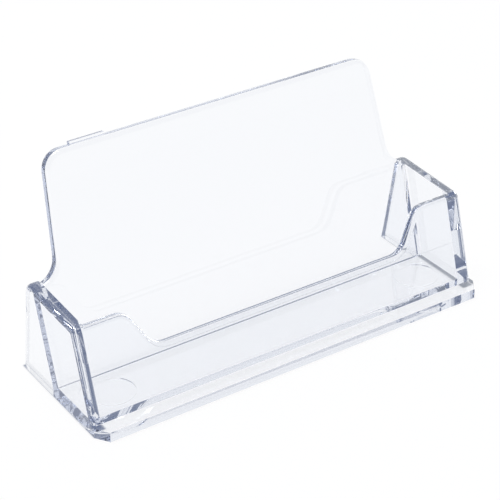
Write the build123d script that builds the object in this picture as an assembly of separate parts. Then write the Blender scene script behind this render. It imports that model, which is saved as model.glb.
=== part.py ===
from build123d import *
import os
from math import cos, radians, sin, tan

# Clear desk stand for business cards: two leaning panels between two end walls, on a base plate
# Axes: X runs along the pocket, the front faces -Y, and Z = 0 is the table top under the middle

# The card that the pocket is made for, and the room round it
card_width = 90.0
card_side_play = 1.5
card_stack_depth = 13.6

# Sheet thicknesses
panel_thickness = 2.7
wall_thickness = 2.7
base_thickness = 2.3

# Heights above the table
back_height = 50.0
shoulder_height = 24.1
wall_height = 22.8
wall_rear_height = 23.9
lip_height = 14.0

# Leans from upright, in degrees: both panels lean back, the rear edge of the end walls leans forward
panel_lean = 14.5
leg_lean = 12.0

# Depths at table level, outside the pocket
flange_depth = 3.1
leg_depth = 13.0

# End walls
wall_front_radius = 1.8
wall_rear_radius = 3.0
wall_edge_radius = 1.3

# Base plate: a flange with mitred corners in front, and round marks that the mould's pins leave in the floor
corner_width = 2.0
pin_mark_diameter = 10.0
pin_mark_depth = 0.2
pin_mark_inset = 6.7

# Front panel: a wing at each end and a low lip between them, joined by an S-curve
wing_width = 9.6
notch_run = 5.4
wing_radius = 4.2
notch_radius = 4.5

# Back panel: sides that taper upward from a flared shoulder to rounded top corners
back_foot_inset = 3.4
back_top_inset = 5.7
flare_radius = 5.4
back_corner_radius = 4.5

# Cove that the mould leaves in the corner between the pocket's floor and the back panel
cove_radius = 0.4

# Stub on the back panel's top edge where the moulding was cut from its runner
gate_length = 8.2
gate_height = 0.7
gate_thickness = 1.1
gate_offset = 30.4

# Rims of the panels: both are well rounded towards the front, and the back panel is only eased at its rear
front_edge_radius = 1.2
lip_rear_edge_radius = 1.2
back_rear_edge_radius = 0.5

# The share of a sheet that its rounded edges may take together
rounding_limit_share = 0.9

# Everything below follows from the values above
lean = radians(panel_lean)
pocket_width = card_width + 2 * card_side_play
stand_width = pocket_width + 2 * wall_thickness
panel_run = panel_thickness / cos(lean)
stand_depth = flange_depth + panel_run + card_stack_depth + panel_run + leg_depth

# Places along Y at table level, from front to rear
front_y = -stand_depth / 2
panel_front_y = front_y + flange_depth
pocket_front_y = panel_front_y + panel_run
pocket_rear_y = pocket_front_y + card_stack_depth
back_rear_y = pocket_rear_y + panel_run
rear_y = back_rear_y + leg_depth


def leaning_plane(foot_y):
    """The plane of a panel's front face: local x is X, local y runs up the slope, z faces the viewer."""
    return Plane(origin=(0, foot_y, 0), x_dir=(1, 0, 0), z_dir=(0, -cos(lean), sin(lean)))


def up_slope(height):
    """How far up a leaning panel a height above the table lies."""
    return height / cos(lean)


def rounding(radius, thickness, together):
    """An edge radius, cut down where the radii that share a sheet come together to more than it allows."""
    return radius * min(together, rounding_limit_share * thickness) / together


def slot_between_walls():
    """The space between the end walls, above the base plate."""
    standing = (Align.CENTER, Align.CENTER, Align.MIN)
    return Pos(0, 0, base_thickness) * Box(pocket_width, 2 * stand_depth, 2 * back_height, align=standing)


def leaning_panel(outline, foot_y):
    """A sheet cut to an outline, leaned back, and trimmed to stand on the base between the walls."""
    sheet = extrude(leaning_plane(foot_y) * outline, amount=-panel_thickness)
    return sheet & slot_between_walls()


def rim_edges(panel):
    """The long edges round a panel's free rim: neither its foot nor where it meets the walls."""
    half = pocket_width / 2
    on_face = panel.edges() - panel.edges().filter_by(Axis.X).group_by(Axis.Z)[0]
    across = Vector(0, -cos(lean), sin(lean))
    rim = []
    for edge in on_face:
        runs_through = abs(edge.tangent_at(0).dot(across)) > cos(lean)
        at_wall = abs(edge.center().X) > half - front_edge_radius
        if not runs_through and not at_wall:
            rim.append(edge)
    return rim


def soften_rim(panel, foot_y, rear_radius):
    """Round the free rim of a panel along its front face, and then along its rear face."""
    plane = leaning_plane(foot_y)
    together = front_edge_radius + rear_radius
    for depth, radius in ((0, front_edge_radius), (panel_thickness, rear_radius)):
        level = []
        for edge in rim_edges(panel):
            if abs(plane.to_local_coords(edge.center()).Z + depth) < rear_radius / 2:
                level.append(edge)
        panel = fillet(level, rounding(radius, panel_thickness, together))
    return panel


def coved(panel):
    """A panel with a cove in the corner between its front face and the floor."""
    lying = (Align.CENTER, Align.CENTER, Align.MAX)
    ground = Pos(0, 0, base_thickness) * Box(pocket_width, 2 * stand_depth, base_thickness, align=lying)
    joined = panel + ground
    corner = joined.edges().filter_by(Axis.X).group_by(Axis.Z)[1].sort_by(Axis.Y)[1]
    return fillet(corner, cove_radius) - ground


def wall_profile():
    """Side view of an end wall, as a face in the YZ plane."""
    top_front_y = panel_front_y + wall_height * tan(lean)
    top_rear_y = rear_y - wall_rear_height * tan(radians(leg_lean))
    corners = [(panel_front_y, 0), (top_front_y, wall_height), (top_rear_y, wall_rear_height), (rear_y, 0)]
    profile = make_face(Polyline(*corners, close=True))
    front_top = profile.vertices().sort_by_distance((top_front_y, wall_height))[0]
    profile = fillet(front_top, wall_front_radius)
    rear_top = profile.vertices().sort_by_distance((top_rear_y, wall_rear_height))[0]
    return fillet(rear_top, wall_rear_radius)


def right_end_wall():
    wall = extrude(Plane.YZ.offset(pocket_width / 2) * wall_profile(), amount=wall_thickness)
    outer_edges = wall.faces().sort_by(Axis.X)[-1].edges().sort_by(Axis.Z)[1:]
    return fillet(outer_edges, rounding(wall_edge_radius, wall_thickness, wall_edge_radius))


def base_plate(wall):
    """The floor of the pocket, as far as the back panel's rear, and a mitred flange in front."""
    half = stand_width / 2
    plate_rear_y = back_rear_y + base_thickness * tan(lean)
    corners = [
        (-half, plate_rear_y),
        (-half, panel_front_y),
        (-half + corner_width, front_y),
        (half - corner_width, front_y),
        (half, panel_front_y),
        (half, plate_rear_y),
    ]
    plate = extrude(make_face(Polyline(*corners, close=True)), amount=base_thickness)
    plate -= [wall, mirror(wall, about=Plane.YZ)]
    mark_x = pocket_width / 2 - pin_mark_inset
    mark_y = pocket_front_y + base_thickness * tan(lean) + pin_mark_inset
    mark = Cylinder(pin_mark_diameter / 2, pin_mark_depth, align=(Align.CENTER, Align.CENTER, Align.MAX))
    return plate - [Pos(side * mark_x, mark_y, base_thickness) * mark for side in (-1, 1)]


def front_panel():
    half = pocket_width / 2
    wing = half - wing_width
    lip = wing - notch_run
    wing_top = up_slope(wall_height)
    lip_top = up_slope(lip_height)
    corners = [
        (-half, 0),
        (-half, wing_top),
        (-wing, wing_top),
        (-lip, lip_top),
        (lip, lip_top),
        (wing, wing_top),
        (half, wing_top),
        (half, 0),
    ]
    outline = make_face(Polyline(*corners, close=True))
    wing_corners = [v for v in outline.vertices().group_by(Axis.Y)[-1] if abs(v.X) < half - wing_width / 2]
    outline = fillet(wing_corners, wing_radius)
    lip_corners = outline.vertices().group_by(Axis.Y)[1]
    outline = fillet(lip_corners, notch_radius)
    return soften_rim(leaning_panel(outline, panel_front_y), panel_front_y, lip_rear_edge_radius)


def back_panel():
    half = pocket_width / 2
    foot = half - back_foot_inset
    top = half - back_top_inset
    beyond_wall = half + flare_radius
    shoulder = up_slope(shoulder_height)
    panel_top = up_slope(back_height)
    corners = [
        (-beyond_wall, 0),
        (-beyond_wall, shoulder),
        (-foot, shoulder),
        (-top, panel_top),
        (top, panel_top),
        (foot, shoulder),
        (beyond_wall, shoulder),
        (beyond_wall, 0),
    ]
    outline = make_face(Polyline(*corners, close=True))
    outline = fillet(outline.vertices().group_by(Axis.Y)[-1], back_corner_radius)
    flare_corners = [v for v in outline.vertices().group_by(Axis.Y)[1] if abs(v.X) < half]
    outline = fillet(flare_corners, flare_radius)
    panel = soften_rim(leaning_panel(outline, pocket_rear_y), pocket_rear_y, back_rear_edge_radius)
    return coved(panel) + gate_stub()


def gate_stub():
    """A thin stub on the back panel's top edge, half way through its thickness."""
    plane = leaning_plane(pocket_rear_y)
    stub = Box(gate_length, gate_height + front_edge_radius, gate_thickness)
    middle_y = up_slope(back_height) + (gate_height - front_edge_radius) / 2
    return plane * Pos(-gate_offset, middle_y, -panel_thickness / 2) * stub


right_wall = right_end_wall()
pieces = {
    "base_plate": base_plate(right_wall),
    "front_panel": front_panel(),
    "back_panel": back_panel(),
    "right_end_wall": right_wall,
    "left_end_wall": mirror(right_wall, about=Plane.YZ),
}

os.makedirs("parts", exist_ok=True)
for name, piece in pieces.items():
    solid = piece.solids()[0]
    export_step(solid, f"parts/{name}.step")
    box = solid.bounding_box()
    print(name, [round(v, 2) for v in box.min], [round(v, 2) for v in box.max], round(solid.volume, 1))
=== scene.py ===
# %% [markdown]
# # A clear card stand on a white table
# The real object is a small desk stand for business cards, moulded in clear polystyrene: a tall back panel,
# a low notched front panel, two end walls and a floor. It has no paint and no parts that move.
# What the eye sees is almost only edges: the flat faces are clear, and the rims bend the light.
# So this lesson is about clean flat faces, softly rounded rims, and what there is around them to reflect.

# %% Load the solids
from math import cos, radians, sin, tan

import bmesh
import bpy
from mathutils import Matrix, Vector


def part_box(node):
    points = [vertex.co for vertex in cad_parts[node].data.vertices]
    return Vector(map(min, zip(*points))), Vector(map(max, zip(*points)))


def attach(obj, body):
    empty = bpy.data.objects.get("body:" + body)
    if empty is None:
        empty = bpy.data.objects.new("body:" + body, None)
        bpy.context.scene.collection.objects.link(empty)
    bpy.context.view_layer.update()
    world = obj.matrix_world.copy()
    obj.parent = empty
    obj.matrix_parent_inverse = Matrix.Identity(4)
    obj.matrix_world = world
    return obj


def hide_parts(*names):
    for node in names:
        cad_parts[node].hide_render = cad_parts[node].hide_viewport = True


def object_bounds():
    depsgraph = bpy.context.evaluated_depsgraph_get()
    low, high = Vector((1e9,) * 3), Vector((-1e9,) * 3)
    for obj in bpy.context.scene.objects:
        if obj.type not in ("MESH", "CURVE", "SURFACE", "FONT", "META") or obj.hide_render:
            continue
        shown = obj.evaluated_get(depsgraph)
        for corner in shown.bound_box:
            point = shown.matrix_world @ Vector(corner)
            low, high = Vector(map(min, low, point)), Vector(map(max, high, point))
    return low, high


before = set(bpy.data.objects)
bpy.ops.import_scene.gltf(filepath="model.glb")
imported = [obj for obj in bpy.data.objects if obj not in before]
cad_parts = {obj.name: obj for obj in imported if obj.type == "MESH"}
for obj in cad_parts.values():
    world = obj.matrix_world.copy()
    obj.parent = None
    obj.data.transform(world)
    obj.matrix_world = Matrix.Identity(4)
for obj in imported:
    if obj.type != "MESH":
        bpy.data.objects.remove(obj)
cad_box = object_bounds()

scene = bpy.context.scene
print("solids:", ", ".join(sorted(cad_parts)))
print("size in mm:", [round(1000 * (hi - lo), 2) for lo, hi in zip(*cad_box)])

# %% [markdown]
# ## Colours and nodes
# Colours are written as the hex values that a picture editor shows, and the shaders want linear light.
# One function turns the one into the other, and one more adds a node with its settings and links.


# %% Two small helpers
def linear(hex_colour):
    """A hex colour as linear red, green, blue and alpha."""
    channels = [int(hex_colour[i:i + 2], 16) / 255 for i in (1, 3, 5)]
    return (*[c / 12.92 if c <= 0.04045 else ((c + 0.055) / 1.055) ** 2.4 for c in channels], 1.0)


def add_node(tree, kind, settings=None, links=None):
    """A node with its settings; links give each input a value or another node's output."""
    node = tree.nodes.new(kind)
    for name, value in (settings or {}).items():
        setattr(node, name, value)
    for socket, value in (links or {}).items():
        if isinstance(value, bpy.types.NodeSocket):
            tree.links.new(value, node.inputs[socket])
        else:
            node.inputs[socket].default_value = value
    return node


print("mid grey in linear light:", round(linear("#808080")[0], 3))

# %% [markdown]
# ## The five pieces, welded
# Light runs through the real moulding without noticing where the floor ends and a panel begins.
# One fused mesh would do that, but the stand is kept as five pieces that can be handled one by one.
# So each piece is a closed copy of its solid, and the faces where two pieces meet are marked as a joint.
# The plastic's shader lets light pass straight through a joint face, as if the two were cemented together.
# First the planes where the pieces meet, in metres, as the solids have them. A small cove
# widens the back panel's foot towards the pocket, so its strip of the floor is wider by that much.

# %% Where the pieces meet
PANEL_LEAN = radians(14.5)
POCKET_HALF_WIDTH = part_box("right_end_wall")[0][0]
FLOOR_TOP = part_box("front_panel")[0][2]
PANEL_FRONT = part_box("right_end_wall")[0][1]
PANEL_THICKNESS = 0.0027
PANEL_RUN = PANEL_THICKNESS / cos(PANEL_LEAN)
POCKET_DEPTH = 0.0136
COVE_RADIUS = 0.0004
HAIR_GAP = 0.00001
CLOSE = 0.000001
NEAR = 10 * CLOSE
MERGE = CLOSE / 10

FRONT_STRIP = (0.0, PANEL_RUN)
BACK_STRIP = (PANEL_RUN + POCKET_DEPTH, 2 * PANEL_RUN + POCKET_DEPTH)
COVE_RUN = COVE_RADIUS / tan((radians(90) + PANEL_LEAN) / 2)
FOOT_STRIP = (BACK_STRIP[0] - COVE_RUN, BACK_STRIP[1])
print("pocket half width, floor top, panel front in mm:",
      [round(1000 * v, 3) for v in (POCKET_HALF_WIDTH, FLOOR_TOP, PANEL_FRONT)])


def behind_front(point):
    """How far behind the front panel's front plane a point lies, measured level."""
    return point.y - point.z * tan(PANEL_LEAN) - PANEL_FRONT


def within(strip, value):
    """Whether a value lies between the two ends of a strip."""
    return strip[0] < value < strip[1]


# %% [markdown]
# ## Cutting the joint faces out
# A panel covers only a strip of the wall that it meets, so the wall's face is cut along the panel's
# two planes. A bisect without filling does that: it adds edges to a flat face and leaves the shape
# as it is. Before that, the triangles of each flat face are dissolved into one face, which keeps
# flat faces truly flat.


# %% Cut along the joints
ONE_FACE_ANGLE = 0.001


def cut(mesh, point, normal):
    """Add edges where a plane crosses the mesh."""
    everything = mesh.verts[:] + mesh.edges[:] + mesh.faces[:]
    bmesh.ops.bisect_plane(mesh, geom=everything, dist=MERGE, plane_co=point, plane_no=normal)


def clean_copy(node):
    """A bmesh copy of a solid, with each flat face in one piece."""
    mesh = bmesh.new()
    mesh.from_mesh(node.data)
    bmesh.ops.remove_doubles(mesh, verts=mesh.verts, dist=MERGE)
    bmesh.ops.dissolve_limit(mesh, angle_limit=ONE_FACE_ANGLE, verts=mesh.verts, edges=mesh.edges)
    return mesh


def cut_joints(mesh, name):
    """Edges along the places where this piece meets the others."""
    if name.endswith("wall"):
        cut(mesh, (0, 0, FLOOR_TOP), (0, 0, 1))
        for along in FRONT_STRIP + BACK_STRIP:
            cut(mesh, (0, PANEL_FRONT + along, 0), (0, cos(PANEL_LEAN), -sin(PANEL_LEAN)))
    if name == "base_plate":
        for along in FOOT_STRIP:
            cut(mesh, (0, PANEL_FRONT + FLOOR_TOP * tan(PANEL_LEAN) + along, 0), (0, 1, 0))
    mesh.normal_update()


# %% [markdown]
# ## Marking the joint faces
# A mark of 1 on a face says that it is a joint. The marks are kept in a face attribute, which the
# shader reads. The front panel's foot has no mark: in the photograph a bright line with little dashes
# runs along it, which is what two polished faces with a trace of air between them show.
# The joint faces are also moved apart by a hundredth of a millimetre, so that no two share one plane.


# %% Mark the joints
STEEP = 0.5
FACING_FRONT = -0.02
WALL_FRONT_REACH = 0.0016


def is_joint(face, name):
    """Whether a face of the named piece lies against another piece."""
    middle = face.calc_center_median()
    side = abs(middle.x)
    along = behind_front(middle)
    upright = abs(face.normal.z) < STEEP
    if name.endswith("panel"):
        at_wall = abs(side - POCKET_HALF_WIDTH) < CLOSE
        return at_wall or (name == "back_panel" and abs(middle.z - FLOOR_TOP) < CLOSE)
    if name == "base_plate":
        at_wall = POCKET_HALF_WIDTH - CLOSE < side < cad_box[1][0] - NEAR
        behind_flange = middle.y > PANEL_FRONT - NEAR
        on_floor = abs(middle.z - FLOOR_TOP) < CLOSE and side < POCKET_HALF_WIDTH
        return (on_floor and within(FOOT_STRIP, along)) or (at_wall and upright and behind_flange)
    at_panel = within(FRONT_STRIP, along) or within(BACK_STRIP, along)
    at_plate = middle.z < FLOOR_TOP and along < BACK_STRIP[1]
    inner = abs(side - POCKET_HALF_WIDTH) < CLOSE
    at_flange = middle.z < FLOOR_TOP and along < WALL_FRONT_REACH
    front = upright and face.normal.y < FACING_FRONT
    return (inner and (at_panel or at_plate)) or (at_flange and front)


def part_joints(mesh, name, mark):
    """Move the panels' ends and feet, and the plate's ends, a hair away from what they meet."""
    if name.endswith("panel"):
        moved = mesh.verts[:]
    elif name == "base_plate":
        joints = [face for face in mesh.faces if face[mark] and abs(face.normal.z) < STEEP]
        moved = {vert for face in joints for vert in face.verts}
    else:
        moved = []
    for vert in moved:
        if abs(abs(vert.co.x) - POCKET_HALF_WIDTH) < CLOSE:
            vert.co.x -= HAIR_GAP if vert.co.x > 0 else -HAIR_GAP
        if name.endswith("panel") and abs(vert.co.z - FLOOR_TOP) < CLOSE:
            vert.co.z += HAIR_GAP


# %% [markdown]
# ## Flat faces and soft rims
# Plain smooth shading bends the light over the large faces as well, and clear plastic shows that at once.
# Here the normals are set one by one: a flat face keeps its own, and a rounding takes the flat face's
# normal where the two meet, so that the rim rolls off without a crease. A weighted normal modifier
# comes close to it, but it can't be told which faces are the flat ones.


# %% Normals for clear plastic
SOFT_ANGLE = radians(30)
FLAT_AREA = 0.000002
FLAT_BREADTH = 0.0002


def is_flat(face):
    """A face over 2 square millimetres that isn't a thin strip of a rounding."""
    area = face.calc_area()
    return area > FLAT_AREA and area / face.calc_perimeter() > FLAT_BREADTH


def corner_normal(loop, flat):
    """The normal at a face's corner: its own on a flat face, and a blend on a rounding."""
    if flat[loop.face.index]:
        return loop.face.normal.copy()
    near = [face for face in loop.vert.link_faces if face.normal.angle(loop.face.normal, 0) < SOFT_ANGLE]
    total = Vector()
    for face in [face for face in near if flat[face.index]] or near:
        corner = next(c for c in face.loops if c.vert == loop.vert)
        total += face.normal * corner.calc_angle()
    return total.normalized() if total.length > 0 else loop.face.normal.copy()


def set_normals(data):
    """Smooth the roundings of a mesh and keep its flat faces flat."""
    mesh = bmesh.new()
    mesh.from_mesh(data)
    mesh.faces.ensure_lookup_table()
    mesh.normal_update()
    flat = [is_flat(face) for face in mesh.faces]
    normals = [tuple(corner_normal(loop, flat)) for face in mesh.faces for loop in face.loops]
    mesh.free()
    data.polygons.foreach_set("use_smooth", [True] * len(data.polygons))
    data.normals_split_custom_set(normals)


# %% [markdown]
# ## Making the pieces
# Each copy now goes through the same steps: clean, cut, mark, part, and shade.
# The print shows whether a piece is closed, because a hole in clear plastic lets the light inside
# go astray.


# %% Make the five pieces
def weld_ready(name):
    """A closed copy of a solid, with its joint faces marked and its normals set."""
    mesh = clean_copy(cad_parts[name])
    cut_joints(mesh, name)
    mark = mesh.faces.layers.float.new("joint")
    for face in mesh.faces:
        face[mark] = 1.0 if is_joint(face, name) else 0.0
    part_joints(mesh, name, mark)
    open_edges = sum(len(edge.link_faces) != 2 for edge in mesh.edges)
    joined = sum(face.calc_area() for face in mesh.faces if face[mark])
    print(name, "open edges", open_edges, "volume cm3", round(1e6 * mesh.calc_volume(), 3),
          "joint mm2", round(1e6 * joined, 1))
    data = bpy.data.meshes.new("clear_" + name)
    mesh.to_mesh(data)
    mesh.free()
    set_normals(data)
    return data


pieces = {}
for name in sorted(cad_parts):
    piece = bpy.data.objects.new("clear_" + name, weld_ready(name))
    scene.collection.objects.link(piece)
    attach(piece, "root")
    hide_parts(name)
    pieces[name] = piece

# %% [markdown]
# ## Moulded clear polystyrene
# Polystyrene is the clear plastic of cheap boxes and rulers. It is moulded against polished steel,
# so its faces are as smooth as glass, and in the mass it is faintly blue.
# The tint comes from absorption inside the plastic and not from its surface, so a thin wall stays clear
# and a rim, where the eye looks through centimetres of it, turns blue-grey.
# Tables give an index of 1.59. Beside the photograph the lip and the foot came out too dark with it,
# so it was brought down to 1.5, which is also that of acrylic, the other plastic for such stands.
# The melt's flow leaves faint ripples in the faces, about 9 mm long and a few thousandths of a
# millimetre deep.

# %% Clear polystyrene
plastic = bpy.data.materials.new("moulded_clear_polystyrene")
plastic.use_nodes = True
tree = plastic.node_tree
surface = tree.nodes["Principled BSDF"]
output = tree.nodes["Material Output"]
surface.inputs["Base Color"].default_value = linear("#fafbfd")
surface.inputs["Transmission Weight"].default_value = 1.0
surface.inputs["IOR"].default_value = 1.5
surface.inputs["Roughness"].default_value = 0.0

RIPPLE_LENGTH = 0.009
RIPPLE_DEPTH = 0.000004
on_piece = add_node(tree, "ShaderNodeTexCoord")
ripple = add_node(tree, "ShaderNodeTexNoise", {},
                  {"Vector": on_piece.outputs["Object"], "Scale": 1 / RIPPLE_LENGTH, "Detail": 1.0})
flow = add_node(tree, "ShaderNodeBump", {}, {"Height": ripple.outputs[0], "Distance": RIPPLE_DEPTH})
tree.links.new(flow.outputs["Normal"], surface.inputs["Normal"])

joint = add_node(tree, "ShaderNodeAttribute", {"attribute_name": "joint"})
through = add_node(tree, "ShaderNodeBsdfTransparent")
welded = add_node(tree, "ShaderNodeMixShader", {}, {0: joint.outputs["Fac"], 1: surface.outputs[0],
                                                    2: through.outputs[0]})
tree.links.new(welded.outputs[0], output.inputs["Surface"])
tint = add_node(tree, "ShaderNodeVolumeAbsorption", {}, {"Color": linear("#b9c4dc"), "Density": 10.0})
tree.links.new(tint.outputs[0], output.inputs["Volume"])

for piece in pieces.values():
    piece.data.materials.append(plastic)
print(plastic.name, "on", len(pieces), "pieces")

# %% [markdown]
# ## A white table
# The stand was photographed on a white sheet, lit so evenly that the sheet is plain white in the picture.
# A wide plane does for it. It lies a twentieth of a millimetre under the stand, so that the two don't touch.

# %% Sheet
SHEET_SIZE, SHEET_DROP = 4.0, 0.00005
bpy.ops.mesh.primitive_plane_add(size=SHEET_SIZE, location=(0, 0, -SHEET_DROP))
sheet = bpy.context.object
sheet.name = "white_sheet"
print("sheet at z in mm:", round(1000 * sheet.location.z, 3))

# %% [markdown]
# ## The painted shade under the end walls
# Where the end walls stand on the sheet, little light gets under them, so the shade there is painted into
# the sheet's colour: blue-grey on the left and a lighter, neutral grey on the right, where the screen is
# near.
# The walls' top edges show these two greys. The painted shade is worked out from the place on the sheet:
# four soft steps, one for each side of a wall's foot, are multiplied.
# A mix node's colour sockets share their names with others, so they are reached by number.

# %% Shade
SOFT_STEP = {"interpolation_type": "SMOOTHSTEP"}
MULTIPLY = {"operation": "MULTIPLY"}
COLOURS = {"data_type": "RGBA"}
SHARE, FIRST, SECOND, MIXED = 0, 6, 7, 2
EDGE_BLUR = 0.0004
WALL_OUTSIDE = cad_box[1][0]
WALL_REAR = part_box("right_end_wall")[1][1]

paper = bpy.data.materials.new("white_paper")
paper.use_nodes = True
tree = paper.node_tree
tree.nodes.clear()
where = add_node(tree, "ShaderNodeNewGeometry")
split = add_node(tree, "ShaderNodeSeparateXYZ", {}, {0: where.outputs["Position"]})
from_middle = add_node(tree, "ShaderNodeMath", {"operation": "ABSOLUTE"}, {0: split.outputs["X"]})
foot_edges = [
    (from_middle.outputs[0], POCKET_HALF_WIDTH, EDGE_BLUR),
    (from_middle.outputs[0], WALL_OUTSIDE, -EDGE_BLUR),
    (split.outputs["Y"], PANEL_FRONT, EDGE_BLUR),
    (split.outputs["Y"], WALL_REAR, -EDGE_BLUR),
]
under_wall = 1.0
for place, edge, blur in foot_edges:
    inside = add_node(tree, "ShaderNodeMapRange", SOFT_STEP,
                      {"Value": place, "From Min": edge - blur, "From Max": edge + blur})
    inside_all = add_node(tree, "ShaderNodeMath", MULTIPLY, {0: under_wall, 1: inside.outputs[0]})
    under_wall = inside_all.outputs[0]
to_the_right = add_node(tree, "ShaderNodeMapRange", SOFT_STEP,
                        {"Value": split.outputs["X"], "From Min": -POCKET_HALF_WIDTH,
                         "From Max": POCKET_HALF_WIDTH})
# painted shade under the walls: blue-grey on the left, neutral grey on the right
painted_wall_shade = add_node(tree, "ShaderNodeMix", COLOURS,
                   {SHARE: to_the_right.outputs[0], FIRST: linear("#6c7793"), SECOND: linear("#8f949e")})
shade = add_node(tree, "ShaderNodeMix", COLOURS,
                 {SHARE: under_wall, FIRST: linear("#ffffff"), SECOND: painted_wall_shade.outputs[MIXED]})
print("shade under", len(foot_edges), "sided feet, blurred over", 2000 * EDGE_BLUR, "mm")

# %% [markdown]
# ## White paper
# The sheet shows its white to the camera, to reflections and to light that comes through the plastic,
# and it is an ordinary matt surface for all other light. A small share of it stays matt for the camera
# too, which keeps the stand's soft shadow.

# %% Paper
SHADOW_SHARE = 0.06
# the sheet's white carries the painted shade under the end walls
white = add_node(tree, "ShaderNodeEmission", {}, {"Color": shade.outputs[MIXED], "Strength": 1.0})
matt = add_node(tree, "ShaderNodeBsdfDiffuse", {}, {"Color": linear("#f9f9f9")})
path = add_node(tree, "ShaderNodeLightPath")
seen = path.outputs["Is Camera Ray"]
for ray in ("Is Transmission Ray", "Is Glossy Ray"):
    either = add_node(tree, "ShaderNodeMath", {"operation": "MAXIMUM"}, {0: seen, 1: path.outputs[ray]})
    seen = either.outputs[0]
lit = add_node(tree, "ShaderNodeMath", MULTIPLY, {0: seen, 1: 1 - SHADOW_SHARE})
both = add_node(tree, "ShaderNodeMixShader", {},
                {0: lit.outputs[0], 1: matt.outputs[0], 2: white.outputs[0]})
add_node(tree, "ShaderNodeOutputMaterial", {}, {"Surface": both.outputs[0]})
sheet.data.materials.append(paper)
print(paper.name, "has", len(tree.nodes), "nodes")

# %% [markdown]
# ## The room
# A clear rim turns the view through a large angle, so each rim shows a picture of some other side of
# the room. Following single rays through the plastic tells which: the bright lines along the foot look
# to the back right, and the dark rims look to the left, to the front and up. So the room has one large
# white screen, which stands behind the stand to the right, and is a dim blue-grey elsewhere.
# Near the table the room fades to white, because a sharp horizon would show as a line across
# the back panel.

# %% World
SCREEN_TURN, SCREEN_RISE = radians(35), radians(25)
SCREEN_INSIDE, SCREEN_OUTSIDE = cos(radians(32)), cos(radians(49))
HORIZON_FADE = sin(radians(20))
screen_level = Vector((sin(SCREEN_TURN), cos(SCREEN_TURN), 0))
screen = screen_level * cos(SCREEN_RISE) + Vector((0, 0, sin(SCREEN_RISE)))
room = bpy.data.worlds.new("white_screen_in_a_dim_room")
scene.world = room
room.use_nodes = True
tree = room.node_tree
tree.nodes.clear()
direction = add_node(tree, "ShaderNodeTexCoord").outputs["Generated"]
height = add_node(tree, "ShaderNodeSeparateXYZ", {}, {0: direction}).outputs["Z"]
towards = add_node(tree, "ShaderNodeVectorMath", {"operation": "DOT_PRODUCT"}, {0: direction, 1: screen})
beside = add_node(tree, "ShaderNodeMapRange", SOFT_STEP,
                  {"Value": towards.outputs["Value"], "From Min": SCREEN_INSIDE, "From Max": SCREEN_OUTSIDE})
above = add_node(tree, "ShaderNodeMapRange", SOFT_STEP,
                 {"Value": height, "From Min": 0.0, "From Max": HORIZON_FADE})
dim = add_node(tree, "ShaderNodeMath", MULTIPLY, {0: beside.outputs[0], 1: above.outputs[0]})
walls = add_node(tree, "ShaderNodeMix", COLOURS,
                 {SHARE: dim.outputs[0], FIRST: linear("#ffffff"), SECOND: linear("#7a849c")})
glow = add_node(tree, "ShaderNodeBackground", {}, {"Color": walls.outputs[MIXED], "Strength": 1.0})
add_node(tree, "ShaderNodeOutputWorld", {}, {"Surface": glow.outputs[0]})
print("screen towards", [round(v, 2) for v in screen])

# %% [markdown]
# ## The lamp
# One softbox hangs almost straight above the stand. Hardly any rim looks up that steeply,
# so it gives a soft shadow and a few sparks on the end walls, and no white bars in the rims.

# %% Lamp
LAMP_SIZE, LAMP_WATTS = 0.5, 8.0
LAMP_PLACE = (-0.15, 0.15, 1.0)
softbox = bpy.data.lights.new("softbox", "AREA")
softbox.size = LAMP_SIZE
softbox.energy = LAMP_WATTS
lamp = bpy.data.objects.new("softbox", softbox)
lamp.location = LAMP_PLACE
lamp.rotation_euler = (-lamp.location).to_track_quat("-Z", "Y").to_euler()
scene.collection.objects.link(lamp)
print("lamp is", round(lamp.location.length, 2), "m away")

# %% [markdown]
# ## The camera
# The view was found by fitting a camera and the stand's outline together to the edges in the photograph.
# It stands some 37 cm away, to the left of the front, and looks down by 30 degrees, a little tilted.

# %% Camera
TURN, TILT, ROLL = radians(-32.2), radians(30.526), radians(-1.772)
AIM, DISTANCE = Vector((-0.001665, -0.00037, 0.021166)), 0.373636
FOCAL_PIXELS, PICTURE_PIXELS, SENSOR_WIDTH = 1736.19, 500, 36
NEAREST = 0.01
back = Vector((sin(TURN) * cos(TILT), -cos(TURN) * cos(TILT), sin(TILT)))
level = Vector((cos(TURN), sin(TURN), 0))
rise = back.cross(level)
right = level * cos(ROLL) + rise * sin(ROLL)
up = rise * cos(ROLL) - level * sin(ROLL)
lens = bpy.data.cameras.new("photo_camera")
lens.sensor_width = SENSOR_WIDTH
lens.lens = SENSOR_WIDTH * FOCAL_PIXELS / PICTURE_PIXELS
lens.clip_start = NEAREST
camera = bpy.data.objects.new("photo_camera", lens)
turned = Matrix((right, up, back)).transposed().to_4x4()
camera.matrix_world = Matrix.Translation(AIM + back * DISTANCE) @ turned
scene.collection.objects.link(camera)
scene.camera = camera
print("focal length", round(lens.lens, 1), "mm")

# %% [markdown]
# ## Bounces
# Light that is caught in a clear plate bounces dozens of times before it leaves at an edge.
# With the usual few bounces those edges come out black, so the counts go up.

# %% Settings
scene.view_settings.view_transform = "Standard"
BOUNCES = 64
scene.cycles.max_bounces = BOUNCES
scene.cycles.transmission_bounces = BOUNCES
scene.cycles.glossy_bounces = BOUNCES
scene.cycles.transparent_max_bounces = BOUNCES
